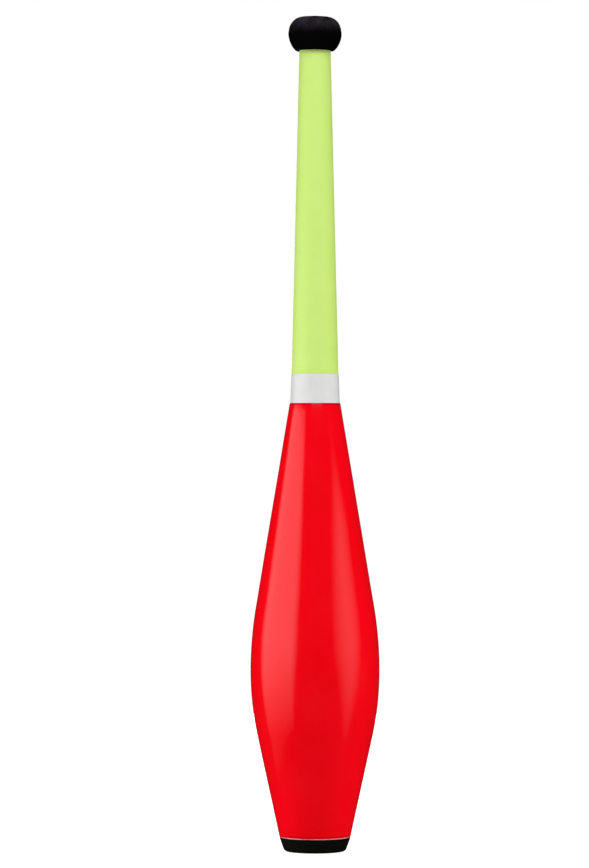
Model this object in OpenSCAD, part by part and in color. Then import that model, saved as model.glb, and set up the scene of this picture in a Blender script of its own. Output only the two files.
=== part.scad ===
// A juggling club with a wooden core, a hollow moulded body, a tubular grip, a foam knob and a foam foot.
// The origin is at the centre of the foot's underside, and +Z runs up the axis to the knob.

/* [Overall] */
// Length from the foot's underside to the top of the knob
club_length = 520; // [500:5:560]

/* [Body shell] */
// Radius of the belly, the widest place
belly_r = 40.25; // [37:0.25:44]
// Height of the belly
belly_z = 112.5; // [105:0.5:120]
// Radius of the shoulder, just under the neck tape
shoulder_r = 15.8; // [15.7:0.1:17]
// Height of the shoulder
shoulder_z = 279.2; // [270:0.2:285]
// Radius of the base, just above the foot
base_r = 22.1; // [20:0.1:24]
// Radius of the long arc above the belly
upper_arc_r = 239; // [200:1:260]
// Radius of the long arc below the belly
lower_arc_r = 193; // [170:1:210]
// Wall thickness
shell_wall = 1.25; // [1:0.05:1.6]
// Thickness of the floor
floor_h = 1.4; // [1.2:0.1:2]
// Rounding of the lip at the base
lip_round_r = 0.8; // [0.4:0.1:1.2]
// Rounding of the shoulder's edge
shoulder_round_r = 0.5; // [0.2:0.1:0.7]
// Rounding inside, where the wall meets the floor
floor_fillet_r = 2; // [1:0.5:4]
// Height of the collar that stands on the shoulder, inside the grip tube
collar_h = 16.2; // [12:0.2:17]

/* [Grip tube] */
// Outer radius at the knob
sleeve_top_r = 9.75; // [9.6:0.05:10.5]
// Outer radius at the tape's upper edge
sleeve_low_r = 14.57; // [14:0.01:15]
// Outer radius at the shoulder, under the tape
skirt_r = 15.23; // [15:0.01:15.4]
// Wall thickness
sleeve_wall = 0.9; // [0.7:0.05:1]
// How far the tube goes up into the knob
sleeve_seat_h = 2.4; // [1.5:0.1:4]

/* [Neck] */
// Width of the tape band
tape_w = 18; // [17:0.5:20]
// Thickness of the tape
tape_h = 0.2; // [0.15:0.05:0.3]
// Length of the wooden ring inside the collar
neck_bush_h = 23; // [18:1:30]
// Length of a staple's crown
staple_w = 8; // [6:0.5:9]
// Length of a staple's legs
staple_leg = 5.8; // [4:0.1:6]
// Number of staples
staple_count = 3; // [2:1:6]

/* [Core] */
// Radius of the dowel
dowel_r = 8; // [7:0.25:8.25]
// Chamfer at the dowel's ends
dowel_chamfer = 0.8; // [0.4:0.1:1.5]
// Outer radius of the ring on the shell's floor
tail_bush_r = 12.2; // [11:0.1:12.4]
// Height of the ring on the shell's floor
tail_bush_h = 10; // [6:1:14]

/* [Knob] */
// Radius at its widest place
knob_r = 16.6; // [16:0.1:18]
// Height
knob_h = 21.1; // [20.5:0.1:24]
// Height of its widest place above its underside
knob_waist_h = 10.6; // [9.5:0.1:11]
// Radius of the arc down its side
knob_side_arc_r = 14.5; // [13.5:0.5:15]
// Radius of the arc at its crown
knob_crown_arc_r = 8.5; // [8:0.5:9.5]
// How far the dowel goes up into the knob
knob_seat_h = 7.1; // [5:0.1:8]
// Radius of the screw's recess
knob_recess_r = 4.9; // [4.8:0.1:6]
// Depth of the screw's recess
knob_recess_h = 6; // [5:0.5:7]
// Rounding of the recess's rim
knob_rim_round_r = 0.8; // [0.4:0.1:1.2]

/* [Foot] */
// Height
foot_h = 8.7; // [8:0.1:12]
// Radius at the top
foot_top_r = 22.2; // [21:0.1:24]
// Slant of the side, in degrees from upright
foot_slant = 19.5; // [10:0.5:25]
// Rounding of the lower edge
foot_edge_round_r = 2.6; // [0.5:0.1:3]
// Rounding of the upper edge
foot_rim_round_r = 0.4; // [0.2:0.1:0.6]
// How far the dowel goes down into the foot
foot_seat_h = 2; // [1:0.1:2]
// Radius of the screw's recess
foot_recess_r = 6.8; // [6.6:0.1:8]
// Depth of the screw's recess
foot_recess_h = 4.6; // [4.4:0.1:4.6]

/* [Screws and washers] */
// Radius of a screw's shank
shank_r = 2; // [1.75:0.25:2.25]
// Length of the knob's screw under its head
knob_screw_l = 35; // [25:5:50]
// Length of the foot's screw under its head
foot_screw_l = 30; // [20:5:50]
// Outer radius of the knob's washer
knob_washer_r = 4.6; // [4.4:0.1:4.7]
// Thickness of the knob's washer
knob_washer_h = 0.8; // [0.6:0.1:1]
// Outer radius of the foot's washer
foot_washer_r = 6.5; // [5:0.1:6.5]
// Thickness of the foot's washer
foot_washer_h = 1; // [0.6:0.1:1]

/* [Hidden] */

$fn = 180;
arc_steps = 12;

// Clearances: between parts that slide over each other, and around a screw
slide_fit = 0.03;
socket_fit = 0.05;
screw_fit = 0.2;

// Pan heads with a cross recess
head_r = 3.9;
head_h = 2.6;
head_dome_r = 6;
cross_l = 4;
cross_w = 0.9;
cross_h = 1.5;
screw_tip_l = 4;

staple_wire_w = 1;
staple_wire_h = 0.5;
staple_sink = 0.05;
bush_chamfer = 1;
sleeve_gap = 0.2; // between the shoulder and the edges of the sleeve and the tape

// Heights along the axis
knob_z = club_length - knob_h;
floor_z = foot_h + floor_h;
collar_z = shoulder_z + collar_h;
sleeve_z = shoulder_z + sleeve_gap;
tape_top_z = shoulder_z + tape_w;
sleeve_top_z = knob_z + sleeve_seat_h;
dowel_z = foot_h - foot_seat_h;
dowel_top_z = knob_z + knob_seat_h;
knob_washer_z = club_length - knob_recess_h;
foot_washer_z = foot_recess_h - foot_washer_h;

// The outline of the body: a straight cone from the base, two arcs that meet at the belly, and a straight
// cone to the shoulder
base_point = [base_r, foot_h];
shoulder_point = [shoulder_r, shoulder_z];
lower_centre = [belly_r - lower_arc_r, belly_z];
upper_centre = [belly_r - upper_arc_r, belly_z];

// Angle at which a line from point touches the arc around centre
function tangent_angle(point, centre, radius) =
    let (way = point - centre)
    atan2(way.y, way.x) - sign(way.y) * acos(radius / norm(way));
function unit(angle) = [cos(angle), sin(angle)];

// Points along an arc, in even steps. The step numbered first is where the list begins.
function arc(centre, radius, from, to, first = 0) =
    [for (i = [first : arc_steps]) centre + radius * unit(from + (to - from) * i / arc_steps)];

lower_angle = tangent_angle(base_point, lower_centre, lower_arc_r);
upper_angle = tangent_angle(shoulder_point, upper_centre, upper_arc_r);

// Radii of the grip tube's outside and of what fits inside it, at a height
function sleeve_r(z) =
    lookup(z, [[shoulder_z, skirt_r], [tape_top_z, sleeve_low_r], [knob_z, sleeve_top_r]]);
function sleeve_fill_r(z) = sleeve_r(z) - sleeve_wall - slide_fit;
function collar_bore_r(z) = sleeve_fill_r(z) - shell_wall;

// What a corner loses when it is rounded. The directions run from the corner along its two sides.
module corner_waste(corner, side_a, side_b, radius) {
    half = acos(side_a * side_b) / 2;
    reach = radius / tan(half);
    centre = corner + radius / sin(half) * (side_a + side_b) / norm(side_a + side_b);
    difference() {
        polygon([corner, corner + reach * side_a, centre, corner + reach * side_b]);
        translate(centre) circle(r = radius);
    }
}

// A ring with a straight bore, whose outer radius is given at each height of a list
module ring(bore_r, heights, radii) {
    top = len(heights) - 1;
    rotate_extrude()
        polygon(concat(
            [[bore_r, heights[0]]],
            [for (i = [0 : top]) [radii[i], heights[i]]],
            [[bore_r, heights[top]]]
        ));
}

// Half of the body's section, brought in from the outside by inset
module body_section(inset) {
    base = base_point - inset * unit(lower_angle);
    shoulder = shoulder_point - inset * unit(upper_angle);
    polygon(concat(
        [[0, base.y], base],
        arc(lower_centre, lower_arc_r - inset, lower_angle, 0),
        arc(upper_centre, upper_arc_r - inset, 0, upper_angle, first = 1),
        [shoulder, [0, shoulder.y]]
    ));
}

// Half of the cavity's section, up to the underside of the shoulder
module cavity_section() {
    floor_corner_r = base_r - shell_wall / cos(lower_angle) - floor_h * tan(lower_angle);
    difference() {
        intersection() {
            body_section(shell_wall);
            translate([0, floor_z]) square([belly_r, shoulder_z - shell_wall - floor_z]);
        }
        corner_waste([floor_corner_r, floor_z], [-1, 0], unit(lower_angle + 90), floor_fillet_r);
    }
}

module body_shell() {
    color("#f2060d")
    difference() {
        rotate_extrude()
        difference() {
            union() {
                difference() {
                    body_section(0);
                    corner_waste(base_point, [-1, 0], unit(lower_angle + 90), lip_round_r);
                    corner_waste(shoulder_point, [-1, 0], unit(upper_angle - 90), shoulder_round_r);
                }
                polygon([
                    [0, shoulder_z], [sleeve_fill_r(shoulder_z), shoulder_z],
                    [sleeve_fill_r(collar_z), collar_z], [0, collar_z],
                ]);
            }
            cavity_section();
            polygon([
                [0, shoulder_z - shell_wall], [collar_bore_r(shoulder_z), shoulder_z - shell_wall],
                [collar_bore_r(shoulder_z), shoulder_z], [collar_bore_r(collar_z), collar_z], [0, collar_z],
            ]);
            translate([0, foot_h]) square([dowel_r + socket_fit, floor_h]);
        }
        staples();
    }
}

// A tube down to the shoulder, with a slot for each staple's crown
module handle_sleeve() {
    heights = [sleeve_z, tape_top_z, knob_z, sleeve_top_z];
    color("#cbee7c")
    difference() {
        rotate_extrude()
            polygon(concat(
                [for (z = heights) [sleeve_r(z), z]],
                [for (i = [len(heights) - 1 : -1 : 0]) [sleeve_r(heights[i]) - sleeve_wall, heights[i]]]
            ));
        staples(staple_sink + tape_h);
    }
}

module grip_foam() {
    heights = [collar_z, tape_top_z, knob_z, sleeve_top_z];
    color("#e8e4da") ring(dowel_r, heights, [for (z = heights) sleeve_fill_r(z)]);
}

module neck_tape() {
    heights = [sleeve_z, tape_top_z];
    color("#efeff0")
    rotate_extrude()
        polygon(concat(
            [for (z = heights) [sleeve_r(z) + tape_h, z]],
            [for (i = [1 : -1 : 0]) [sleeve_r(heights[i]), heights[i]]]
        ));
}

module neck_bush() {
    low = collar_z - neck_bush_h;
    heights = [low, low + bush_chamfer, shoulder_z, collar_z];
    radii = [for (z = heights) collar_bore_r(z) - slide_fit - (z == low ? bush_chamfer : 0)];
    color("#c8a26c")
    difference() {
        ring(dowel_r, heights, radii);
        staples();
    }
}

module tail_bush() {
    top = floor_z + tail_bush_h;
    heights = [floor_z, top - bush_chamfer, top];
    color("#d9d6cc") ring(dowel_r, heights, [tail_bush_r, tail_bush_r, tail_bush_r - bush_chamfer]);
}

// One staple, with its crown's outer face on X = 0, its legs towards -X, and its length along Z
module staple(proud) {
    translate([-staple_wire_h, -staple_wire_w / 2, -staple_w / 2])
        cube([staple_wire_h + proud, staple_wire_w, staple_w]);
    for (end = [-1, 1])
        translate([-staple_leg, -staple_wire_w / 2, end * (staple_w - staple_wire_h) / 2 - staple_wire_h / 2])
            cube([staple_leg, staple_wire_w, staple_wire_h]);
}

// All the staples, evenly spaced, lying along the slope of the sleeve. As a cutter, their crowns stand proud.
module staples(proud = 0) {
    middle_z = (sleeve_z + tape_top_z) / 2;
    slope = atan((skirt_r - sleeve_low_r) / tape_w);
    for (i = [0 : staple_count - 1])
        rotate([0, 0, i * 360 / staple_count])
        translate([sleeve_r(middle_z) - staple_sink, 0, middle_z])
        rotate([0, -slope, 0])
            staple(proud);
}

module neck_staples() {
    color("#b9bcc0") staples();
}

// The plain shank of a screw, down from the origin to its point. Its root goes up into the head.
module screw_shank_section(length, root = 0) {
    polygon([[0, -length], [shank_r, screw_tip_l - length], [shank_r, root], [0, root]]);
}

// A pan-headed wood screw, with the underside of its head at the origin and its point towards -Z
module wood_screw(length) {
    difference() {
        rotate_extrude()
        union() {
            intersection() {
                square([head_r, head_h]);
                translate([0, head_h - head_dome_r]) circle(r = head_dome_r);
            }
            screw_shank_section(length, head_h - cross_h);
        }
        for (turn = [0, 90])
            rotate([0, 0, turn])
            translate([-cross_l / 2, -cross_w / 2, head_h - cross_h])
                cube([cross_l, cross_w, cross_h]);
    }
}

module at_knob_screw() {
    translate([0, 0, knob_washer_z + knob_washer_h]) children();
}

module at_foot_screw() {
    translate([0, 0, foot_washer_z]) rotate([180, 0, 0]) children();
}

module washer(radius, height) {
    difference() {
        cylinder(r = radius, h = height);
        translate([0, 0, -height]) cylinder(r = shank_r + screw_fit, h = 3 * height);
    }
}

module core_dowel() {
    color("#d9b07a")
    difference() {
        rotate_extrude()
            polygon([
                [0, dowel_z],
                [dowel_r - dowel_chamfer, dowel_z],
                [dowel_r, dowel_z + dowel_chamfer],
                [dowel_r, dowel_top_z - dowel_chamfer],
                [dowel_r - dowel_chamfer, dowel_top_z],
                [0, dowel_top_z],
            ]);
        at_knob_screw() rotate_extrude() screw_shank_section(knob_screw_l);
        at_foot_screw() rotate_extrude() screw_shank_section(foot_screw_l);
    }
}

// The foot is a slanted pad with a socket for the dowel above and a recess for the screw below
module foot() {
    bottom_r = foot_top_r - foot_h * tan(foot_slant);
    side = [sin(foot_slant), cos(foot_slant)];
    color("#141313")
    rotate_extrude()
    difference() {
        polygon([[0, 0], [bottom_r, 0], [foot_top_r, foot_h], [0, foot_h]]);
        corner_waste([bottom_r, 0], [-1, 0], side, foot_edge_round_r);
        corner_waste([foot_top_r, foot_h], [-1, 0], -side, foot_rim_round_r);
        square([foot_recess_r, foot_recess_h]);
        square([shank_r + screw_fit, foot_h]);
        translate([0, dowel_z]) square([dowel_r + socket_fit, foot_seat_h]);
    }
}

module foot_washer() {
    color("#b9bcc0") translate([0, 0, foot_washer_z]) washer(foot_washer_r, foot_washer_h);
}

module foot_screw() {
    color("#b9bcc0") at_foot_screw() wood_screw(foot_screw_l);
}

// The knob's outline is one arc down its side and a smaller one that turns onto its flat crown
module knob() {
    side_centre = [knob_r - knob_side_arc_r, knob_z + knob_waist_h];
    arc_gap = knob_side_arc_r - knob_crown_arc_r;
    crown_rise = club_length - knob_crown_arc_r - side_centre.y;
    turn = asin(crown_rise / arc_gap);
    crown_centre = side_centre + arc_gap * unit(turn);
    color("#1b191c")
    rotate_extrude()
    difference() {
        polygon(concat(
            [[0, knob_z]],
            arc(side_centre, knob_side_arc_r, -asin(knob_waist_h / knob_side_arc_r), turn),
            arc(crown_centre, knob_crown_arc_r, turn, 90, first = 1),
            [[0, club_length]]
        ));
        translate([0, knob_z]) square([sleeve_top_r + socket_fit, sleeve_seat_h]);
        translate([0, knob_z]) square([dowel_r + socket_fit, knob_seat_h]);
        translate([0, knob_z]) square([shank_r + screw_fit, knob_h]);
        translate([0, knob_washer_z]) square([knob_recess_r, knob_recess_h]);
        corner_waste([knob_recess_r, club_length], [1, 0], [0, -1], knob_rim_round_r);
    }
}

module knob_washer() {
    color("#b9bcc0") translate([0, 0, knob_washer_z]) washer(knob_washer_r, knob_washer_h);
}

module knob_screw() {
    color("#b9bcc0") at_knob_screw() wood_screw(knob_screw_l);
}

core_dowel();
neck_bush();
tail_bush();
body_shell();
grip_foam();
handle_sleeve();
neck_staples();
neck_tape();
foot();
foot_washer();
foot_screw();
knob();
knob_washer();
knob_screw();
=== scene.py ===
"""The looks of the juggling club, in a white studio.

Its visible pieces are remade in fine detail where the CAD nodes stand.
"""
import math

import bmesh
import bpy
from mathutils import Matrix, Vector, noise


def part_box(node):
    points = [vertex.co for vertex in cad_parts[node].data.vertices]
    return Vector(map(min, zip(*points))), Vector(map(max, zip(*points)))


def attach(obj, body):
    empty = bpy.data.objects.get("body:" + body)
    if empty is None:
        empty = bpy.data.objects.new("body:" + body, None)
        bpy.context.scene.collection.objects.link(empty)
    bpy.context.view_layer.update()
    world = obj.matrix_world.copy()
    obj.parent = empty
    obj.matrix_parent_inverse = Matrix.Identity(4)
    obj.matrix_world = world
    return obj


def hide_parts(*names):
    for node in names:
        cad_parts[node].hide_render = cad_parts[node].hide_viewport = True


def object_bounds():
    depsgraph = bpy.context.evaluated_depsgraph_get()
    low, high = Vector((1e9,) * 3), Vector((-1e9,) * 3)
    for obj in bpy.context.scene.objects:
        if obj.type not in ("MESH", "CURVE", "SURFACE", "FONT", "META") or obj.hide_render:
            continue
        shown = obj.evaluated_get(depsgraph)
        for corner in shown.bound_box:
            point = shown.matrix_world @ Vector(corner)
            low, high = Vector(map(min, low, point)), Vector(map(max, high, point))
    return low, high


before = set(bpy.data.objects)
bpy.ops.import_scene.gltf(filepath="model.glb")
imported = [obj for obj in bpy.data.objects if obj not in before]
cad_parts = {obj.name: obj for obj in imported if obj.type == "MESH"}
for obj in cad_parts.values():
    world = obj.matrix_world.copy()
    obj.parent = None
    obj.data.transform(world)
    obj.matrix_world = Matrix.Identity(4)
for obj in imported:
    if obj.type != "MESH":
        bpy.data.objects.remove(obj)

MM = 0.001
cad_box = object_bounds()
club_length = cad_box[1].z - cad_box[0].z

# --------------------------------------------------------------------------------------------------
# Places and sizes, read from the frame, in metres
# --------------------------------------------------------------------------------------------------


def span(node):
    """A node's lowest and highest point."""
    low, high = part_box(node)
    return low.z, high.z


def reach(node):
    """A node's largest radius."""
    low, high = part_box(node)
    return max(high.x, high.y, -low.x, -low.y)


foot_low, foot_top = span("foot")
shell_low, collar_top = span("body_shell")
tape_low, tape_top = span("neck_tape")
sleeve_low, sleeve_top = span("handle_sleeve")
knob_low, knob_top = span("knob")
dowel_low, dowel_top = span("core_dowel")
belly_r = reach("body_shell")
dowel_r = reach("core_dowel")
skirt_r = reach("handle_sleeve")
knob_r = reach("knob")
tape_h = reach("neck_tape") - skirt_r
tail_bush_low = span("tail_bush")[0]

# The shell's outline
belly_z = 112.5 * MM
base_r = 22.1 * MM
shoulder_r = 15.8 * MM
shoulder_z = tape_low - 0.2 * MM
upper_arc_r = 239 * MM
lower_arc_r = 193 * MM
shell_wall = 1.25 * MM

# The grip tube's outline
sleeve_top_r = 9.75 * MM
sleeve_low_r = 14.57 * MM
sleeve_wall = 0.9 * MM

# Gaps that let one piece go into another
slide_fit = 0.03 * MM
loose_fit = 0.05 * MM

# How far the roundings reach from a corner
crisp = 0.2 * MM
eased = 0.3 * MM
lip_rounding = 0.65 * MM
shoulder_rounding = 0.45 * MM
cavity_rounding = 2 * MM
sleeve_rounding = 0.25 * MM


def part_way(low, high, value):
    """How far value is from low to high, kept within 0 and 1."""
    return min(1.0, max(0.0, (value - low) / (high - low)))


def between(z, low, high, low_run, high_run):
    """1 between two heights, falling to 0 at each of them over its run."""
    return part_way(low, low + low_run, z) * part_way(high, high - high_run, z)


def sleeve_r(z):
    """The grip tube's outer radius at a height."""
    if z <= tape_top:
        return skirt_r + (sleeve_low_r - skirt_r) * part_way(tape_low, tape_top, z)
    return sleeve_low_r + (sleeve_top_r - sleeve_low_r) * part_way(tape_top, knob_low, z)


# --------------------------------------------------------------------------------------------------
# Making meshes
# --------------------------------------------------------------------------------------------------


ARC_STEPS = 14
CORNER_STEPS = 6


def polar(centre, radius, angle):
    """The point of a circle at an angle."""
    return centre[0] + radius * math.cos(angle), centre[1] + radius * math.sin(angle)


def arc(centre, radius, start, end):
    """Corners along an arc, from the angle start to the angle end."""
    angles = [start + (end - start) * i / ARC_STEPS for i in range(ARC_STEPS + 1)]
    return [(*polar(centre, radius, angle), 0) for angle in angles]


def wire(corners):
    """A mesh of one outline, drawn on the XZ plane.

    A corner is (radius, height, how far its rounding reaches).
    """
    bm = bmesh.new()
    verts = [bm.verts.new((r, 0, z)) for r, z, _ in corners]
    for a, b in zip(verts, verts[1:] + verts[:1]):
        bm.edges.new((a, b))
    for cut in sorted({cut for _, _, cut in corners if cut}):
        group = [v for v, corner in zip(verts, corners) if corner[2] == cut]
        bmesh.ops.bevel(
            bm, geom=group, offset=cut, offset_type="OFFSET", segments=CORNER_STEPS, profile=0.5,
            affect="VERTICES", material=-1,
        )
    return bm


def turned(bm, steps, spacing):
    """Turns an outline round the axis, once its edges are divided so that none is longer than spacing."""
    for edge in bm.edges[:]:
        cuts = int(edge.calc_length() / spacing)
        if cuts:
            bmesh.ops.subdivide_edges(bm, edges=[edge], cuts=cuts)
    bmesh.ops.spin(
        bm, geom=bm.verts[:] + bm.edges[:], cent=(0, 0, 0), axis=(0, 0, 1), dvec=(0, 0, 0), angle=math.tau,
        steps=steps, use_merge=True, use_normal_flip=False, use_duplicate=False,
    )
    bmesh.ops.remove_doubles(bm, verts=bm.verts, dist=0.001 * MM)
    bmesh.ops.recalc_face_normals(bm, faces=bm.faces)
    return bm


def ruffle(bm, amount, scale, seed, where):
    """Moves each point out or in along its normal by smooth noise whose waves are about scale long.

    where says how much of the amount a place gets, from 0 to 1.
    """
    bm.normal_update()
    shift = Vector((seed, 0.37 * seed, 0.71 * seed))
    moves = [(v, v.normal * amount * where(v.co) * noise.noise(v.co / scale + shift)) for v in bm.verts]
    for v, move in moves:
        v.co += move


def piece(name, bm, node, finish, sharp=40):
    """Makes the finished object of a mesh: it stands for a CAD node, and rides on the club's one body.

    An edge that is bent by more than sharp degrees is left crisp.
    """
    mesh = bpy.data.meshes.new(name)
    bm.to_mesh(mesh)
    bm.free()
    mesh.shade_smooth()
    mesh.set_sharp_from_angle(angle=math.radians(sharp))
    mesh.materials.append(finish)
    obj = bpy.data.objects.new(name, mesh)
    bpy.context.scene.collection.objects.link(obj)
    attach(obj, "root")
    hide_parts(node)
    return obj


# --------------------------------------------------------------------------------------------------
# Making materials
# --------------------------------------------------------------------------------------------------


def add(tree, kind, inputs=None, **settings):
    """Adds a node. An input is given a value, or another node's output to link from."""
    made = tree.nodes.new(kind)
    for key, value in settings.items():
        setattr(made, key, value)
    for key, value in (inputs or {}).items():
        if isinstance(value, bpy.types.NodeSocket):
            tree.links.new(value, made.inputs[key])
        else:
            made.inputs[key].default_value = value
    return made


def math_node(tree, operation, *values, clamp=False):
    """The result of a sum on one, two or three values."""
    inputs = dict(enumerate(values))
    return add(tree, "ShaderNodeMath", inputs, operation=operation, use_clamp=clamp).outputs[0]


def map_range(tree, value, from_low, from_high, to_low=0.0, to_high=1.0, smooth=False):
    """A value moved from one range to another, and kept within it."""
    kind = "SMOOTHSTEP" if smooth else "LINEAR"
    inputs = {
        "Value": value, "From Min": from_low, "From Max": from_high, "To Min": to_low, "To Max": to_high,
    }
    return add(tree, "ShaderNodeMapRange", inputs, interpolation_type=kind).outputs["Result"]


def mix_colour(tree, factor, a, b):
    """Colour a where factor is 0, and b where it is 1."""
    return add(tree, "ShaderNodeMix", {0: factor, 6: a, 7: b}, data_type="RGBA").outputs[2]


def new_group(name, inputs, outputs):
    """A shader node group with named sockets. An input is (name, default) or the name of a vector."""
    group = bpy.data.node_groups.new(name, "ShaderNodeTree")
    for item in inputs:
        if isinstance(item, str):
            group.interface.new_socket(name=item, in_out="INPUT", socket_type="NodeSocketVector")
            continue
        socket = group.interface.new_socket(name=item[0], in_out="INPUT", socket_type="NodeSocketFloat")
        socket.default_value = item[1]
    for output in outputs:
        group.interface.new_socket(name=output, in_out="OUTPUT", socket_type="NodeSocketFloat")
    source = group.nodes.new("NodeGroupInput").outputs
    sink = group.nodes.new("NodeGroupOutput").inputs
    return group, source, sink


def use_group(tree, group, inputs):
    """Places a node group and gives back its outputs."""
    return add(tree, "ShaderNodeGroup", inputs, node_tree=group).outputs


PATCH_SPREAD = (0.3, 0.7)  # the noise that gives a patch's lowest and highest value
LARGE_CELLS = 0.37  # the large cells' scale against the small ones'
SMALL_WALLS = (0.1, 0.65)  # from a small cell's middle to its wall
LARGE_WALLS = (0.1, 0.7)  # the same for a large cell
CELL_SHARE = 0.5  # how much of the whole each size of cell gives
BAND_WANDER = 3.0  # how far the wood's bands wander, in bands
FLECK_NOISE = (0.6, 0.72)  # the noise at which a fleck starts and is full
GRAIN_DRAWN = 0.045  # wood's scale along its grain against that across it
TUBE_DRAWN = 0.03  # the grip tube's scale along its lines against that across them
SCUFF_WAYS = ((0.4, 0.05), (1.7, 0.08), (2.6, 0.06))  # how each set of scuffs is turned and drawn out
SCUFF_FINENESS = 14.0  # the scuffs' scale against that of the patches they lie in
SCUFF_NOISE = (0.74, 0.8)  # the noise at which a scuff starts and is full
SCUFFED_NOISE = (0.5, 0.65)  # the same for a scuffed patch


def drawn_out(tree, place, along, turn=(0.0, 0.0, 0.0)):
    """Turned places, scaled by along on their Z axis so that a pattern on them is drawn out that way."""
    inputs = {"Vector": place, "Rotation": turn, "Scale": (1.0, 1.0, along)}
    return add(tree, "ShaderNodeMapping", inputs).outputs["Vector"]


def make_cloud_group():
    """Soft uneven patches between two values."""
    group, source, sink = new_group(
        "soft patches", ["Vector", ("Scale", 20.0), ("Detail", 3.0), ("Low", 0.0), ("High", 1.0)], ["Value"]
    )
    place, scale, detail = source["Vector"], source["Scale"], source["Detail"]
    patches = add(
        group, "ShaderNodeTexNoise", {"Vector": place, "Scale": scale, "Detail": detail, "Roughness": 0.55}
    )
    spread = map_range(group, patches.outputs["Fac"], *PATCH_SPREAD, source["Low"], source["High"])
    group.links.new(spread, sink["Value"])
    return group


def make_foam_group():
    """Foam's closed cells: small dimples of two sizes, and the thin skin between them."""
    group, source, sink = new_group(
        "foam cells", ["Vector", ("Scale", 900.0), ("Skin", 0.5)], ["Height", "Cells"]
    )
    place, scale = source["Vector"], source["Scale"]
    cells = add(group, "ShaderNodeTexVoronoi", {"Vector": place, "Scale": scale}, feature="SMOOTH_F1")
    large_scale = math_node(group, "MULTIPLY", scale, LARGE_CELLS)
    large = add(group, "ShaderNodeTexVoronoi", {"Vector": place, "Scale": large_scale}, feature="SMOOTH_F1")
    wear_and_painted_light = add(group, "ShaderNodeTexNoise", {"Vector": place, "Scale": large_scale, "Detail": 4.0})
    fine = map_range(group, cells.outputs["Distance"], *SMALL_WALLS, 0.0, CELL_SHARE, smooth=True)
    broad = map_range(group, large.outputs["Distance"], *LARGE_WALLS, 0.0, CELL_SHARE, smooth=True)
    both = math_node(group, "ADD", fine, broad)
    skin = math_node(group, "MULTIPLY", wear_and_painted_light.outputs["Fac"], source["Skin"])
    group.links.new(math_node(group, "ADD", both, skin), sink["Height"])
    group.links.new(both, sink["Cells"])
    return group


def make_wood_group():
    """Straight-grained timber along the axis: growth bands, and short dark flecks."""
    group, source, sink = new_group("straight grain", ["Vector", ("Bands", 260.0)], ["Band", "Fleck"])
    drawn = drawn_out(group, source["Vector"], GRAIN_DRAWN)
    bent = add(group, "ShaderNodeTexNoise", {"Vector": drawn, "Scale": 90.0, "Detail": 2.0})
    apart = add(group, "ShaderNodeSeparateXYZ", {"Vector": drawn})
    across = math_node(group, "MULTIPLY", apart.outputs["X"], source["Bands"])
    wandering = math_node(group, "MULTIPLY_ADD", bent.outputs["Fac"], BAND_WANDER, across)
    wave = math_node(group, "FRACT", wandering)
    band = map_range(group, wave, 0.0, 1.0, smooth=True)
    flecks = add(group, "ShaderNodeTexNoise", {"Vector": drawn, "Scale": 2600.0, "Detail": 1.0})
    group.links.new(band, sink["Band"])
    group.links.new(map_range(group, flecks.outputs["Fac"], *FLECK_NOISE), sink["Fleck"])
    return group


def make_height_group():
    """Height above the floor, in millimetres."""
    group, source, sink = new_group("height", ["Vector"], ["Height"])
    apart = add(group, "ShaderNodeSeparateXYZ", {"Vector": source["Vector"]}).outputs
    group.links.new(math_node(group, "MULTIPLY", apart["Z"], 1 / MM), sink["Height"])
    return group


def make_scuff_group():
    """Fine hairline scuffs from handling, running every way."""
    group, source, sink = new_group("handling scuffs", ["Vector", ("Scale", 60.0)], ["Scuff"])
    place, scale = source["Vector"], source["Scale"]
    fine = math_node(group, "MULTIPLY", scale, SCUFF_FINENESS)
    total = 0.0
    for turn, drawn in SCUFF_WAYS:
        laid = drawn_out(group, place, drawn, (turn, 0.6 * turn, turn))
        lines = add(group, "ShaderNodeTexNoise", {"Vector": laid, "Scale": fine, "Detail": 0.0})
        thin = map_range(group, lines.outputs["Fac"], *SCUFF_NOISE)
        total = math_node(group, "MAXIMUM", total, thin)
    patches = add(group, "ShaderNodeTexNoise", {"Vector": place, "Scale": scale, "Detail": 2.0})
    kept = map_range(group, patches.outputs["Fac"], *SCUFFED_NOISE)
    group.links.new(math_node(group, "MULTIPLY", total, kept), sink["Scuff"])
    return group


cloud_group = make_cloud_group()
foam_group = make_foam_group()
wood_group = make_wood_group()
height_group = make_height_group()
scuff_group = make_scuff_group()


def material(name, **constants):
    """A material, its nodes, its Principled shader and the place that its patterns read.

    Constants go straight onto the shader's sockets.
    """
    made = bpy.data.materials.new(name)
    made.use_nodes = True
    tree = made.node_tree
    shader = next(n for n in tree.nodes if n.type == "BSDF_PRINCIPLED")
    for key, value in constants.items():
        shader.inputs[key.replace("_", " ")].default_value = value
    place = add(tree, "ShaderNodeTexCoord").outputs["Object"]
    return made, tree, shader, place


def cloud(tree, place, **values):
    """Soft patches: Scale, Detail, and the Low and High that they run between."""
    return use_group(tree, cloud_group, {"Vector": place, **values})["Value"]


def bump(tree, shader, height, strength, distance):
    """Raises the surface's shading by height, by up to distance in metres."""
    made = add(tree, "ShaderNodeBump", {"Height": height, "Strength": strength, "Distance": distance})
    tree.links.new(made.outputs["Normal"], shader.inputs["Normal"])


def height_step(tree, height, base, step, before=0.0, after=1.0):
    """Turns smoothly from before to after over a step, two heights in millimetres above base."""
    return map_range(tree, height, base + step[0], base + step[1], before, after, smooth=True)


RED = (0.96, 0.0, 0.0075, 1)
DEEP_RED = (0.92, 0.0, 0.004, 1)
# A painted highlight along the shell's lower lip
PAINTED_LIP_HIGHLIGHT = (0.95, 0.66, 0.6, 1)
SHADED_RED = (0.2, 0.0, 0.006, 1)
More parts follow.
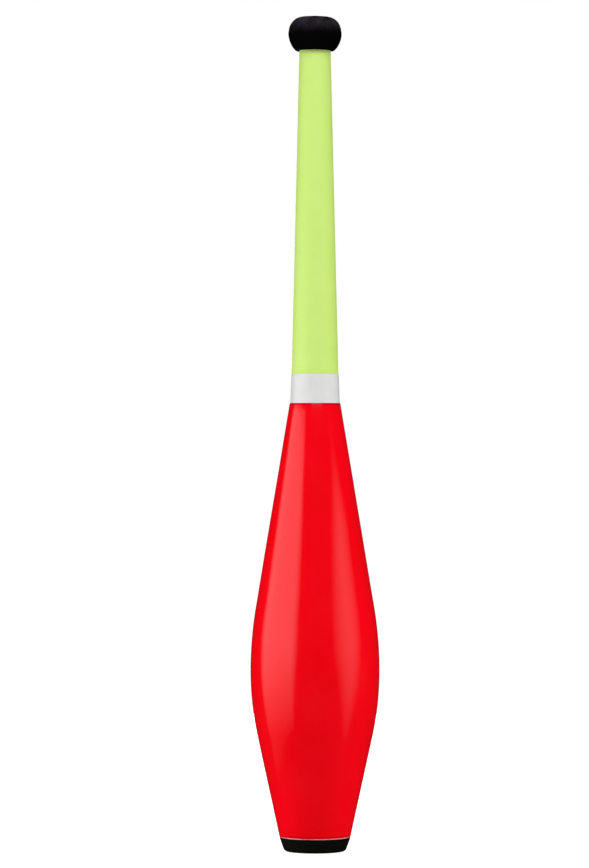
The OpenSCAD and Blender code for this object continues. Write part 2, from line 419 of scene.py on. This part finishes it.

# Where the shell's bands of painted highlight and painted shade start and end, in millimetres above its
# lower lip or its shoulder
LIP_HIGHLIGHT_ENDS = (0.45, 0.8)
GROOVE_SHADE_STARTS = (0.7, 1.0)
GROOVE_SHADE_ENDS = (1.4, 2.2)
GROOVE_SHADE = 0.35
SEAM_SHADE_STARTS = (-1.1, -0.35)


def make_red_plastic():
    """Glossy blow-moulded polyethylene.

    It has a painted highlight along its lower lip, and painted shade in a band just above the lip and
    just under the tape.
    """
    made, tree, shader, place = material("red plastic", IOR=1.5, Specular_IOR_Level=0.6)
    height = use_group(tree, height_group, {"Vector": place})["Height"]
    patches = cloud(tree, place, Scale=30.0, Detail=2.0)
    skin = mix_colour(tree, patches, RED, DEEP_RED)
    broken = cloud(tree, place, Scale=260.0, Low=0.35, High=1.0)
    lip_height = shell_low / MM
    # A painted highlight along the lower lip, broken into patches
    lip_highlight_band = height_step(tree, height, lip_height, LIP_HIGHLIGHT_ENDS, 1.0, 0.0)
    lip = math_node(tree, "MULTIPLY", lip_highlight_band, broken)
    with_lip_highlight = mix_colour(tree, lip, skin, PAINTED_LIP_HIGHLIGHT)
    # Painted shade in a narrow band just above the lip
    groove_shade_low = height_step(tree, height, lip_height, GROOVE_SHADE_STARTS, 0.0, GROOVE_SHADE)
    groove_shade_high = height_step(tree, height, lip_height, GROOVE_SHADE_ENDS, 1.0, 0.0)
    groove_shade = math_node(tree, "MULTIPLY", groove_shade_low, groove_shade_high)
    with_groove_shade = mix_colour(tree, groove_shade, with_lip_highlight, SHADED_RED)
    # Painted shade along the shoulder, just under the tape
    seam_shade = height_step(tree, height, shoulder_z / MM, SEAM_SHADE_STARTS)
    colour = mix_colour(tree, seam_shade, with_groove_shade, SHADED_RED)
    tree.links.new(colour, shader.inputs["Base Color"])
    smudges = cloud(tree, place, Scale=45.0, Low=0.09, High=0.13)
    tree.links.new(smudges, shader.inputs["Roughness"])
    peel = add(tree, "ShaderNodeTexNoise", {"Vector": place, "Scale": 420.0, "Detail": 1.0})
    bump(tree, shader, peel.outputs["Fac"], strength=0.12, distance=0.05 * MM)
    return made


LIME = (0.63, 0.88, 0.185, 1)
DEEP_LIME = (0.6, 0.86, 0.16, 1)


def make_lime_plastic():
    """Satin plastic: fine lines along the tube from its making, and soft handling marks."""
    made, tree, shader, place = material("lime plastic", IOR=1.5, Specular_IOR_Level=1.0)
    patches = cloud(tree, place, Scale=55.0, Detail=3.0)
    tree.links.new(mix_colour(tree, patches, LIME, DEEP_LIME), shader.inputs["Base Color"])
    wear_and_painted_light = cloud(tree, place, Scale=80.0, Low=0.56, High=0.64)
    tree.links.new(wear_and_painted_light, shader.inputs["Roughness"])
    drawn = drawn_out(tree, place, TUBE_DRAWN)
    lines = add(tree, "ShaderNodeTexNoise", {"Vector": drawn, "Scale": 1300.0, "Detail": 2.0})
    bump(tree, shader, lines.outputs["Fac"], strength=0.15, distance=0.05 * MM)
    return made


TAPE_WHITE = (0.76, 0.76, 0.755, 1)
TAPE_GREY = (0.72, 0.72, 0.715, 1)


def make_white_tape():
    """Soft vinyl tape with a faint calendered grain."""
    made, tree, shader, place = material("white tape", IOR=1.46)
    patches = cloud(tree, place, Scale=120.0, Detail=4.0)
    tree.links.new(mix_colour(tree, patches, TAPE_WHITE, TAPE_GREY), shader.inputs["Base Color"])
    wear_and_painted_light = cloud(tree, place, Scale=200.0, Low=0.28, High=0.4)
    tree.links.new(wear_and_painted_light, shader.inputs["Roughness"])
    grain = add(tree, "ShaderNodeTexNoise", {"Vector": place, "Scale": 2200.0, "Detail": 2.0})
    bump(tree, shader, grain.outputs["Fac"], strength=0.2, distance=0.03 * MM)
    return made


RUBBER_BLACK = (0.0022, 0.002, 0.0014, 1)
RUBBER_SKIN = (0.006, 0.0055, 0.0045, 1)
CREAM_FOAM = (0.75, 0.74, 0.7, 1)
WHITE_FOAM = (0.88, 0.87, 0.84, 1)


def make_foam(name, dark, light, cell_scale, depth, roughness):
    """Foam rubber: soft mottling, and cells that show in the bump and as lighter skin."""
    made, tree, shader, place = material(name, Roughness=roughness, IOR=1.4, Specular_IOR_Level=0.25)
    cells = use_group(tree, foam_group, {"Vector": place, "Scale": cell_scale, "Skin": 0.6})
    mottle = cloud(tree, place, Scale=330.0, Detail=4.0)
    lit = math_node(tree, "MULTIPLY", cells["Cells"], mottle, clamp=True)
    tree.links.new(mix_colour(tree, lit, dark, light), shader.inputs["Base Color"])
    bump(tree, shader, cells["Height"], strength=0.6, distance=depth)
    return made


BLACK_FOAM = (0.0009, 0.0008, 0.001, 1)
# The colour of the painted light from above on the knob's crown
PAINTED_TOP_LIT_FOAM = (0.046, 0.039, 0.05, 1)
CROWN_TOP_LIGHT = (-11.5, -1)  # where the painted top light starts and is full, in millimetres above the knob's top
CELL_SHADES = (0.1, 0.8, 0.5, 1.0)  # how the cells' walls become lighter and their middles darker


def make_knob_foam():
    """Black foam rubber, painted paler and purplish in soft patches over its crown: painted light from
    above.
    """
    made, tree, shader, place = material("knob foam", Roughness=0.9, Specular_IOR_Level=0.04)
    height = use_group(tree, height_group, {"Vector": place})["Height"]
    # Painted light from above: the crown is painted paler, in soft patches
    crown = height_step(tree, height, knob_top / MM, CROWN_TOP_LIGHT)
    patches = cloud(tree, place, Scale=120.0, Low=0.1)
    cells = use_group(tree, foam_group, {"Vector": place, "Scale": 1300.0, "Skin": 0.6})
    grain = map_range(tree, cells["Cells"], *CELL_SHADES)
    crown_light_patches = math_node(tree, "MULTIPLY", crown, patches)
    wear_and_painted_light = math_node(tree, "MULTIPLY", crown_light_patches, grain, clamp=True)
    tree.links.new(mix_colour(tree, wear_and_painted_light, BLACK_FOAM, PAINTED_TOP_LIT_FOAM), shader.inputs["Base Color"])
    bump(tree, shader, cells["Height"], strength=0.6, distance=0.12 * MM)
    return made


BEECH = (0.72, 0.5, 0.3, 1)
BEECH_BAND = (0.6, 0.38, 0.2, 1)
PLAIN_WOOD = (0.62, 0.42, 0.24, 1)
PLAIN_WOOD_BAND = (0.5, 0.32, 0.17, 1)
WOOD_FLECK = (0.22, 0.11, 0.05, 1)


def make_wood(name, pale, brown, bands):
    """Sanded wood with its bands and half-strength flecks."""
    made, tree, shader, place = material(name)
    grain = use_group(tree, wood_group, {"Vector": place, "Bands": bands})
    banded = mix_colour(tree, grain["Band"], pale, brown)
    faint_fleck = math_node(tree, "MULTIPLY", grain["Fleck"], 0.5)
    flecked = mix_colour(tree, faint_fleck, banded, WOOD_FLECK)
    tree.links.new(flecked, shader.inputs["Base Color"])
    wear_and_painted_light = cloud(tree, place, Scale=90.0, Low=0.42, High=0.6)
    tree.links.new(wear_and_painted_light, shader.inputs["Roughness"])
    bump(tree, shader, grain["Band"], strength=0.2, distance=0.05 * MM)
    return made


NATURAL_PLASTIC = (0.8, 0.77, 0.7, 1)
AGED_PLASTIC = (0.72, 0.7, 0.63, 1)


def make_natural_plastic():
    """Uncoloured plastic, cloudy and slightly yellow."""
    made, tree, shader, place = material("natural plastic")
    patches = cloud(tree, place, Scale=70.0)
    colour = mix_colour(tree, patches, NATURAL_PLASTIC, AGED_PLASTIC)
    tree.links.new(colour, shader.inputs["Base Color"])
    wear_and_painted_light = cloud(tree, place, Scale=160.0, Low=0.38, High=0.52)
    tree.links.new(wear_and_painted_light, shader.inputs["Roughness"])
    return made


BRIGHT_ZINC = (0.66, 0.67, 0.69, 1)
DULL_ZINC = (0.5, 0.52, 0.56, 1)


def make_plated_steel():
    """Zinc-plated steel, slightly clouded, with fine scuffs from the driver."""
    made, tree, shader, place = material("plated steel", Metallic=1.0)
    patches = cloud(tree, place, Scale=500.0, Detail=3.0)
    colour = mix_colour(tree, patches, BRIGHT_ZINC, DULL_ZINC)
    tree.links.new(colour, shader.inputs["Base Color"])
    wear_and_painted_light = cloud(tree, place, Scale=700.0, Low=0.24, High=0.42)
    scuffs = use_group(tree, scuff_group, {"Vector": place, "Scale": 300.0})["Scuff"]
    tree.links.new(math_node(tree, "MULTIPLY_ADD", scuffs, 0.2, wear_and_painted_light), shader.inputs["Roughness"])
    return made


red_plastic = make_red_plastic()
lime_plastic = make_lime_plastic()
white_tape = make_white_tape()
knob_foam = make_knob_foam()
foot_rubber = make_foam(
    "foot rubber", RUBBER_BLACK, RUBBER_SKIN, cell_scale=1800.0, depth=0.06 * MM, roughness=0.7
)
white_foam = make_foam(
    "white foam", CREAM_FOAM, WHITE_FOAM, cell_scale=1100.0, depth=0.2 * MM, roughness=0.9
)
beech_wood = make_wood("beech wood", BEECH, BEECH_BAND, bands=420.0)
plain_wood = make_wood("plain wood", PLAIN_WOOD, PLAIN_WOOD_BAND, bands=300.0)
natural_plastic = make_natural_plastic()
plated_steel = make_plated_steel()

# --------------------------------------------------------------------------------------------------
# The body shell
# --------------------------------------------------------------------------------------------------


def touch_angle(point, centre, radius):
    """Angle at which a straight line from point runs onto the arc round centre."""
    across, up = point[0] - centre[0], point[1] - centre[1]
    return math.atan2(up, across) - math.copysign(math.acos(radius / math.hypot(across, up)), up)


def shell_side(inset):
    """The shell's side from its base to its shoulder, brought in by inset, and how its two ends lean.

    It is a cone, two arcs that meet at the belly, and a cone.
    """
    lower_centre = (belly_r - lower_arc_r, belly_z)
    upper_centre = (belly_r - upper_arc_r, belly_z)
    lower = touch_angle((base_r, shell_low), lower_centre, lower_arc_r)
    upper = touch_angle((shoulder_r, shoulder_z), upper_centre, upper_arc_r)
    lower_part = arc(lower_centre, lower_arc_r - inset, lower, 0)
    return lower_part + arc(upper_centre, upper_arc_r - inset, 0, upper)[1:], lower, upper


def make_shell():
    """The hollow body: floor, side, shoulder, and the collar that goes up into the grip tube."""
    outer, lower, upper = shell_side(0)
    inner, _, _ = shell_side(shell_wall)
    floor_top = tail_bush_low
    hole_r = dowel_r + loose_fit
    inner_base_r = base_r - shell_wall / math.cos(lower) - (floor_top - shell_low) * math.tan(lower)
    inner_shoulder_r = shoulder_r - shell_wall / math.cos(upper) + shell_wall * math.tan(upper)
    collar_r = [sleeve_r(z) - sleeve_wall - slide_fit for z in (shoulder_z, collar_top)]
    corners = [
        (hole_r, shell_low, crisp),
        (base_r, shell_low, lip_rounding),
        *outer,
        (shoulder_r, shoulder_z, shoulder_rounding),
        (collar_r[0], shoulder_z, crisp),
        (collar_r[1], collar_top, eased),
        (collar_r[1] - shell_wall, collar_top, crisp),
        (collar_r[0] - shell_wall, shoulder_z - shell_wall, crisp),
        (inner_shoulder_r, shoulder_z - shell_wall, eased),
        *reversed(inner),
        (inner_base_r, floor_top, cavity_rounding),
        (hole_r, floor_top, crisp),
    ]
    bm = turned(wire(corners), steps=192, spacing=5 * MM)

    def free_wall(co):
        return between(co.z, shell_low, shoulder_z, low_run=12 * MM, high_run=12 * MM)

    # Blow moulding leaves the wall slightly wavy between its ends
    ruffle(bm, amount=0.09 * MM, scale=34 * MM, seed=3.1, where=free_wall)
    piece("body_shell_piece", bm, "body_shell", red_plastic)


# --------------------------------------------------------------------------------------------------
# The grip and the neck
# --------------------------------------------------------------------------------------------------


def make_sleeve():
    """The grip tube, from the shoulder up into the knob."""
    heights = [sleeve_low, tape_top, knob_low, sleeve_top]
    outer = [(sleeve_r(z), z) for z in heights]
    inner = [(sleeve_r(z) - sleeve_wall, z) for z in reversed(heights)]
    ends = {sleeve_low, sleeve_top}
    corners = [(r, z, sleeve_rounding if z in ends else 0) for r, z in outer + inner]
    bm = turned(wire(corners), steps=144, spacing=4 * MM)

    def bare_tube(co):
        return between(co.z, tape_top, knob_low, low_run=10 * MM, high_run=10 * MM)

    ruffle(bm, amount=0.05 * MM, scale=22 * MM, seed=8.4, where=bare_tube)
    piece("handle_sleeve_piece", bm, "handle_sleeve", lime_plastic)


def make_grip_foam():
    """The padding that fills the space between the dowel and the grip tube."""
    heights = [collar_top, tape_top, knob_low, sleeve_top]
    outer = [(sleeve_r(z) - sleeve_wall - slide_fit, z, 0) for z in heights]
    corners = outer + [(dowel_r, sleeve_top, 0), (dowel_r, collar_top, 0)]
    bm = turned(wire(corners), steps=96, spacing=5 * MM)
    made = piece("grip_foam_piece", bm, "grip_foam", white_foam)


TAPE_LAP = 24  # degrees by which the tape's end laps over its start
TAPE_RAMP = 5  # degrees in which the lap climbs over the start
TAPE_START = 78  # degrees from +X: the lap is behind the club
TAPE_GAP = 0.02 * MM  # from the shoulder to the tape's lower edge


def make_tape():
    """A strip wound once round and a little further, so that its end lies on its start."""
    bm = bmesh.new()
    start = math.radians(TAPE_START)
    edge = shoulder_z + TAPE_GAP
    low_r, top_r = sleeve_r(tape_low), sleeve_r(tape_top)
    end = [(low_r, edge), (low_r + tape_h, edge), (top_r + tape_h, tape_top), (top_r, tape_top)]
    verts = [bm.verts.new((r * math.cos(start), r * math.sin(start), z)) for r, z in end]
    strip = bm.faces.new(verts)
    steps = 360 + TAPE_LAP
    bmesh.ops.spin(
        bm, geom=[strip, *strip.edges, *strip.verts], cent=(0, 0, 0), axis=(0, 0, 1), dvec=(0, 0, 0),
        angle=math.radians(steps), steps=steps, use_merge=False, use_normal_flip=False, use_duplicate=False,
    )
    # The points of each step follow on, four at a time, and the last ones climb onto the first
    bm.verts.ensure_lookup_table()
    for i, v in enumerate(bm.verts):
        lift = tape_h * part_way(360 - TAPE_RAMP, 360, i // 4)
        v.co += Vector((v.co.x, v.co.y, 0)).normalized() * lift
    bmesh.ops.recalc_face_normals(bm, faces=bm.faces)
    piece("neck_tape_piece", bm, "neck_tape", white_tape)


# --------------------------------------------------------------------------------------------------
# The knob and the foot
# --------------------------------------------------------------------------------------------------

knob_side_arc_r = 14.5 * MM
knob_crown_arc_r = 8.5 * MM
knob_waist_h = 10.6 * MM
recess_r = 4.9 * MM
recess_floor = span("knob_washer")[0]
screw_hole_r = 2.2 * MM
knob_rim_rounding = 0.5 * MM
recess_rounding = 0.8 * MM


def make_knob():
    """The soft knob: a bulging side, a crown, a recess for the screw, and a bore for the grip tube."""
    side = (knob_r - knob_side_arc_r, knob_low + knob_waist_h)
    gap = knob_side_arc_r - knob_crown_arc_r
    turn = math.asin((knob_top - knob_crown_arc_r - side[1]) / gap)
    crown = polar(side, gap, turn)
    bottom = -math.asin(knob_waist_h / knob_side_arc_r)
    bore_r = sleeve_top_r + loose_fit
    side_arc = arc(side, knob_side_arc_r, bottom, turn)
    corners = [
        (bore_r, knob_low, eased),
        (*side_arc[0][:2], knob_rim_rounding),
        *side_arc[1:],
        *arc(crown, knob_crown_arc_r, turn, math.pi / 2)[1:],
        (recess_r, knob_top, recess_rounding),
        (recess_r, recess_floor, eased),
        (screw_hole_r, recess_floor, 0),
        (screw_hole_r, dowel_top, 0),
        (dowel_r + loose_fit, dowel_top, 0),
        (dowel_r + loose_fit, sleeve_top, 0),
        (bore_r, sleeve_top, 0),
    ]
    bm = turned(wire(corners), steps=180, spacing=0.9 * MM)

    def outside(co):
        return part_way(recess_r, recess_r + 2.5 * MM, math.hypot(co.x, co.y))

    ruffle(bm, amount=0.22 * MM, scale=11 * MM, seed=5.2, where=outside)
    ruffle(bm, amount=0.07 * MM, scale=2.6 * MM, seed=1.9, where=outside)
    made = piece("knob_piece", bm, "knob", knob_foam, sharp=60)


foot_top_r = 22.2 * MM
foot_slant = math.radians(19.5)
foot_recess_r = 6.8 * MM
foot_recess_rounding = 0.4 * MM
foot_rounding = 1.84 * MM
foot_top_rounding = 0.35 * MM


def make_foot():
    """The foot that the club stands on: a slanted side, and a recess underneath for the screw."""
    recess_top = span("foot_washer")[1]
    corners = [
        (foot_recess_r, foot_low, foot_recess_rounding),
        (foot_top_r - foot_top * math.tan(foot_slant), foot_low, foot_rounding),
        (foot_top_r, foot_top, foot_top_rounding),
        (dowel_r + loose_fit, foot_top, crisp),
        (dowel_r + loose_fit, dowel_low, 0),
        (screw_hole_r, dowel_low, 0),
        (screw_hole_r, recess_top, 0),
        (foot_recess_r, recess_top, eased),
    ]
    bm = turned(wire(corners), steps=180, spacing=1.2 * MM)

    def side(co):
        return between(co.z, foot_low + MM, foot_top, low_run=2 * MM, high_run=MM)

    ruffle(bm, amount=0.1 * MM, scale=7 * MM, seed=2.7, where=side)
    made = piece("foot_piece", bm, "foot", foot_rubber, sharp=50)


# --------------------------------------------------------------------------------------------------
# The whole club
# --------------------------------------------------------------------------------------------------

make_shell()
make_sleeve()
make_grip_foam()
make_tape()
make_knob()
make_foot()

# The nodes that a piece stands for get its finish too
node_finishes = {
    "core_dowel": beech_wood,
    "neck_bush": plain_wood,
    "tail_bush": natural_plastic,
    "neck_staples": plated_steel,
    "foot_washer": plated_steel,
    "foot_screw": plated_steel,
    "knob_washer": plated_steel,
    "knob_screw": plated_steel,
    "body_shell": red_plastic,
    "handle_sleeve": lime_plastic,
    "grip_foam": white_foam,
    "neck_tape": white_tape,
    "knob": knob_foam,
    "foot": foot_rubber,
}
for node_name, finish in node_finishes.items():
    for material_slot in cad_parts[node_name].material_slots:
        material_slot.material = finish

# --------------------------------------------------------------------------------------------------
# The studio: a white floor and horizon, a tall strip light on each side, a softbox high in front, a low
# fill on each side and a softbox behind. The fills and the softbox behind don't show in the gloss
# --------------------------------------------------------------------------------------------------

CAMERA_BACK = 2.6  # from the club's axis
CAMERA_ASIDE = -12.8 * MM
FRAME_HEIGHT = 1.041 * club_length  # what the camera takes in at the club
SENSOR = 36  # in millimetres
CAMERA_CLIP = (0.05, 100)

LIGHT_POWER = 4  # a panel's power for each square metre of it and each unit of radiance

# A strip light is a few panels, one behind the other. Lengths are in metres
STRIP_AWAY = 0.6  # from the club's axis to the nearest panel
STRIP_STEP = 0.01  # from each panel to the next
STRIP_LOW = -0.19  # where the longest panel starts
STRIP_FULL = 0.2  # the height above which every panel shines
STRIP_FADE = 0.06  # how far apart the panels' tops are
STRIP_LAYERS = 9

FLOOR_RADIUS = 60
FLOOR_DROP = 0.1 * MM  # keeps the floor clear of the foot's underside
FLOOR_WHITE = (0.9, 0.9, 0.9, 1)  # to the camera
FLOOR_GREY = (0.55, 0.55, 0.55, 1)  # in the light that it throws back
FLOOR_GLOW = 0.75
WHITE = (1, 1, 1, 1)

# The world's strength as room light, in reflections, and to the camera
ROOM_LIGHT = 0.36
ROOM_IN_GLOSS = 0.01
ROOM_SEEN = 1.0


def make_camera():
    """Level with the club's middle, straight in front of it but for a small step aside."""
    data = bpy.data.cameras.new("camera")
    data.sensor_width = SENSOR
    data.lens = SENSOR * CAMERA_BACK / FRAME_HEIGHT
    data.clip_start, data.clip_end = CAMERA_CLIP
    camera = bpy.data.objects.new("camera", data)
    camera.location = (CAMERA_ASIDE, -CAMERA_BACK, club_length / 2)
    camera.rotation_euler = (math.pi / 2, 0, 0)
    bpy.context.scene.collection.objects.link(camera)
    bpy.context.scene.camera = camera


def round_the_club(azimuth, distance, height):
    """A place round the club. Azimuth 0 is where the camera stands, and it grows to the camera's right."""
    angle = math.radians(azimuth)
    return distance * math.sin(angle), -distance * math.cos(angle), height


def softbox(name, place, aim, width, height, radiance):
    """A flat panel of light that shines from place towards aim. Radiance is how bright its face is."""
    data = bpy.data.lights.new(name, "AREA")
    data.shape = "RECTANGLE"
    data.size, data.size_y = width, height
    data.energy = LIGHT_POWER * width * height * radiance
    light = bpy.data.objects.new(name, data)
    light.location = place
    light.rotation_euler = (Vector(aim) - Vector(place)).to_track_quat("-Z", "Y").to_euler()
    light.visible_camera = False
    bpy.context.scene.collection.objects.link(light)
    return light


def strip_box(name, azimuth, width, radiance, feather, high):
    """A tall light beside the club, whose sides and ends fade.

    The lower a panel of it starts, the narrower the panel is.
    """
    for layer in range(STRIP_LAYERS):
        share = layer / STRIP_LAYERS
        low = STRIP_LOW + (STRIP_FULL - STRIP_LOW) * share
        top = high + STRIP_FADE * (1 - share)
        half_way = (low + top) / 2
        place = round_the_club(azimuth, STRIP_AWAY + STRIP_STEP * layer, half_way)
        size = width * (1 - feather * (1 - share)), top - low
        softbox(f"{name} {layer}", place, (0, 0, half_way), *size, radiance / STRIP_LAYERS)


def make_floor():
    """A floor that is white to the camera, and grey in the light that it throws back.

    It doesn't show in reflections, throws no shadow, and can't be seen from below.
    """
    bm = bmesh.new()
    bmesh.ops.create_circle(bm, cap_ends=True, radius=FLOOR_RADIUS, segments=64)
    bmesh.ops.translate(bm, verts=bm.verts, vec=(0, 0, -FLOOR_DROP))
    mesh = bpy.data.meshes.new("floor")
    bm.to_mesh(mesh)
    bm.free()
    floor = bpy.data.objects.new("floor", mesh)
    bpy.context.scene.collection.objects.link(floor)
    made = bpy.data.materials.new("pale floor")
    made.use_nodes = True
    tree = made.node_tree
    tree.nodes.clear()
    rays = add(tree, "ShaderNodeLightPath").outputs
    pale = add(tree, "ShaderNodeBsdfDiffuse", {"Color": FLOOR_WHITE}).outputs[0]
    glow = add(tree, "ShaderNodeEmission", {"Color": WHITE, "Strength": FLOOR_GLOW}).outputs[0]
    seen = add(tree, "ShaderNodeAddShader", {0: pale, 1: glow}).outputs[0]
    grey = add(tree, "ShaderNodeBsdfDiffuse", {"Color": FLOOR_GREY}).outputs[0]
    clear = add(tree, "ShaderNodeBsdfTransparent").outputs[0]
    through = math_node(tree, "MAXIMUM", rays["Is Glossy Ray"], rays["Is Shadow Ray"])
    lighting = add(tree, "ShaderNodeMixShader", {0: through, 1: grey, 2: clear}).outputs[0]
    above = add(tree, "ShaderNodeMixShader", {0: rays["Is Camera Ray"], 1: lighting, 2: seen}).outputs[0]
    from_below = add(tree, "ShaderNodeNewGeometry").outputs["Backfacing"]
    whole = add(tree, "ShaderNodeMixShader", {0: from_below, 1: above, 2: clear}).outputs[0]
    add(tree, "ShaderNodeOutputMaterial", {"Surface": whole})
    mesh.materials.append(made)


def make_world():
    """White to the camera, mid grey as the room's own light, and nearly dark in reflections."""
    world = bpy.data.worlds.new("studio")
    world.use_nodes = True
    tree = world.node_tree
    tree.nodes.clear()
    rays = add(tree, "ShaderNodeLightPath").outputs
    room = map_range(tree, rays["Is Glossy Ray"], 0.0, 1.0, ROOM_LIGHT, ROOM_IN_GLOSS)
    strengths = {0: rays["Is Camera Ray"], 2: room, 3: ROOM_SEEN}
    strength = add(tree, "ShaderNodeMix", strengths, data_type="FLOAT")
    glow = add(tree, "ShaderNodeBackground", {"Color": WHITE, "Strength": strength.outputs[0]})
    add(tree, "ShaderNodeOutputWorld", {"Surface": glow.outputs[0]})
    world.cycles.sampling_method = "NONE"
    bpy.context.scene.world = world


def make_lights():
    """The strips give the body's two long highlights, and the rest light it softly."""
    middle = (0, 0, 0.25)
    strip_box("left strip", azimuth=-72, width=1.27, radiance=1.02, feather=0.45, high=0.45)
    strip_box("right strip", azimuth=61.5, width=0.85, radiance=0.64, feather=0.85, high=0.36)
    high_in_front = round_the_club(azimuth=8, distance=1.0, height=1.35)
    softbox("front softbox", high_in_front, middle, width=1.1, height=1.0, radiance=3.25)
    low_on_the_body = (0, 0, 0.08)
    for name, azimuth, radiance in (("left fill", -92, 2.8), ("right fill", 88, 2.9)):
        place = round_the_club(azimuth, distance=0.7, height=-0.1)
        fill = softbox(name, place, low_on_the_body, width=0.5, height=0.4, radiance=radiance)
        fill.visible_glossy = False
    behind = (0, 1.2, 0.45)
    back = softbox("back softbox", behind, middle, width=0.9, height=1.0, radiance=2.0)
    back.visible_glossy = False


make_camera()
make_lights()
make_floor()
make_world()
bpy.context.scene.view_settings.view_transform = "Standard"
